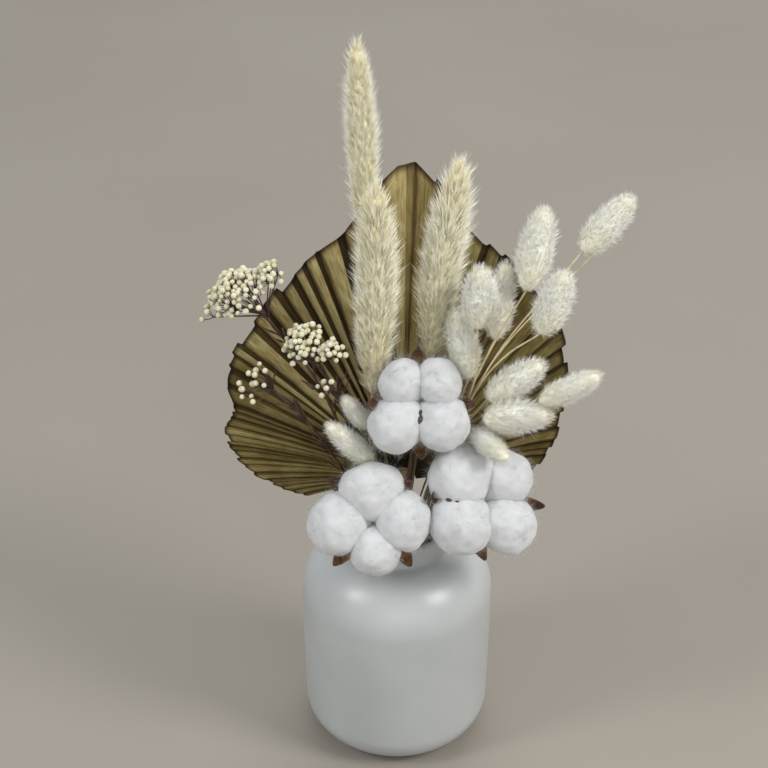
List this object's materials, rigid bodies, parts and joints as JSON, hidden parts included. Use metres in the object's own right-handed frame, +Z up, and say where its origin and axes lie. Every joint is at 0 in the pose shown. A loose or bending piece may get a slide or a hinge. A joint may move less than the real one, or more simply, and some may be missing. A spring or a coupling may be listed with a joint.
{
  "type": "dried flower arrangement in a vase",
  "caption": "Dried arrangement in a round-shouldered white jar vase: open cotton bolls over the rim, a pleated palm leaf behind, and tall grass plumes, bunny tail grass and rice flower.",
  "frame": {"origin": "Centre of the vase's flat base, on the surface that it stands on.", "axes": "+Z is up, along the vase's axis. -Y is the front, where the cotton bolls hang over the rim. The palm leaf is at the back, towards +Y. +X is to the right seen from the front, where most of the bunny tails lean."},
  "size_m": [0.2038, 0.1197, 0.381],
  "materials": {
    "glaze": "satin white glaze",
    "palm": "dried olive and tan leaf, matte",
    "plume": "long cream seed hair, matte",
    "tail": "short soft cream hair, matte",
    "straw": "straw coloured stalk, satin",
    "burr": "dry brown hull, matte",
    "lint": "white cotton lint, matte",
    "wood_stem": "dark woody stalk, matte",
    "bud": "cream dried bud, matte",
    "twig": "dark brown twig, matte"
  },
  "bodies": {
    "root": {"vase": "glaze", "palm_blade": "palm", "palm_petiole": "palm", "plume_1_head": "plume", "plume_1_stem": "straw", "plume_2_head": "plume", "plume_2_stem": "straw", "plume_3_head": "plume", "plume_3_stem": "straw", "bunny_tail_1_head": "tail", "bunny_tail_1_stem": "straw", "bunny_tail_2_head": "tail", "bunny_tail_2_stem": "straw", "bunny_tail_3_head": "tail", "bunny_tail_3_stem": "straw", "bunny_tail_4_head": "tail", "bunny_tail_4_stem": "straw", "bunny_tail_5_head": "tail", "bunny_tail_5_stem": "straw", "bunny_tail_6_head": "tail", "bunny_tail_6_stem": "straw", "bunny_tail_7_head": "tail", "bunny_tail_7_stem": "straw", "bunny_tail_8_head": "tail", "bunny_tail_8_stem": "straw", "bunny_tail_9_head": "tail", "bunny_tail_9_stem": "straw", "bunny_tail_10_head": "tail", "bunny_tail_10_stem": "straw", "bunny_tail_11_head": "tail", "bunny_tail_11_stem": "straw", "bunny_tail_12_head": "tail", "bunny_tail_12_stem": "straw", "bunny_tail_bare_stem": "straw", "cotton_1_burr": "burr", "cotton_1_lock_1": "lint", "cotton_1_lock_2": "lint", "cotton_1_lock_3": "lint", "cotton_1_lock_4": "lint", "cotton_1_stem": "wood_stem", "cotton_2_burr": "burr", "cotton_2_lock_1": "lint", "cotton_2_lock_2": "lint", "cotton_2_lock_3": "lint", "cotton_2_lock_4": "lint", "cotton_2_stem": "wood_stem", "cotton_3_burr": "burr", "cotton_3_lock_1": "lint", "cotton_3_lock_2": "lint", "cotton_3_lock_3": "lint", "cotton_3_lock_4": "lint", "cotton_3_stem": "wood_stem", "rice_flower_1_buds": "bud", "rice_flower_1_stem": "twig", "rice_flower_2_buds": "bud", "rice_flower_2_stem": "twig", "rice_flower_3_buds": "bud", "rice_flower_3_stem": "twig", "rice_flower_4_buds": "bud", "rice_flower_4_stem": "twig"}
  },
  "joints": []
}
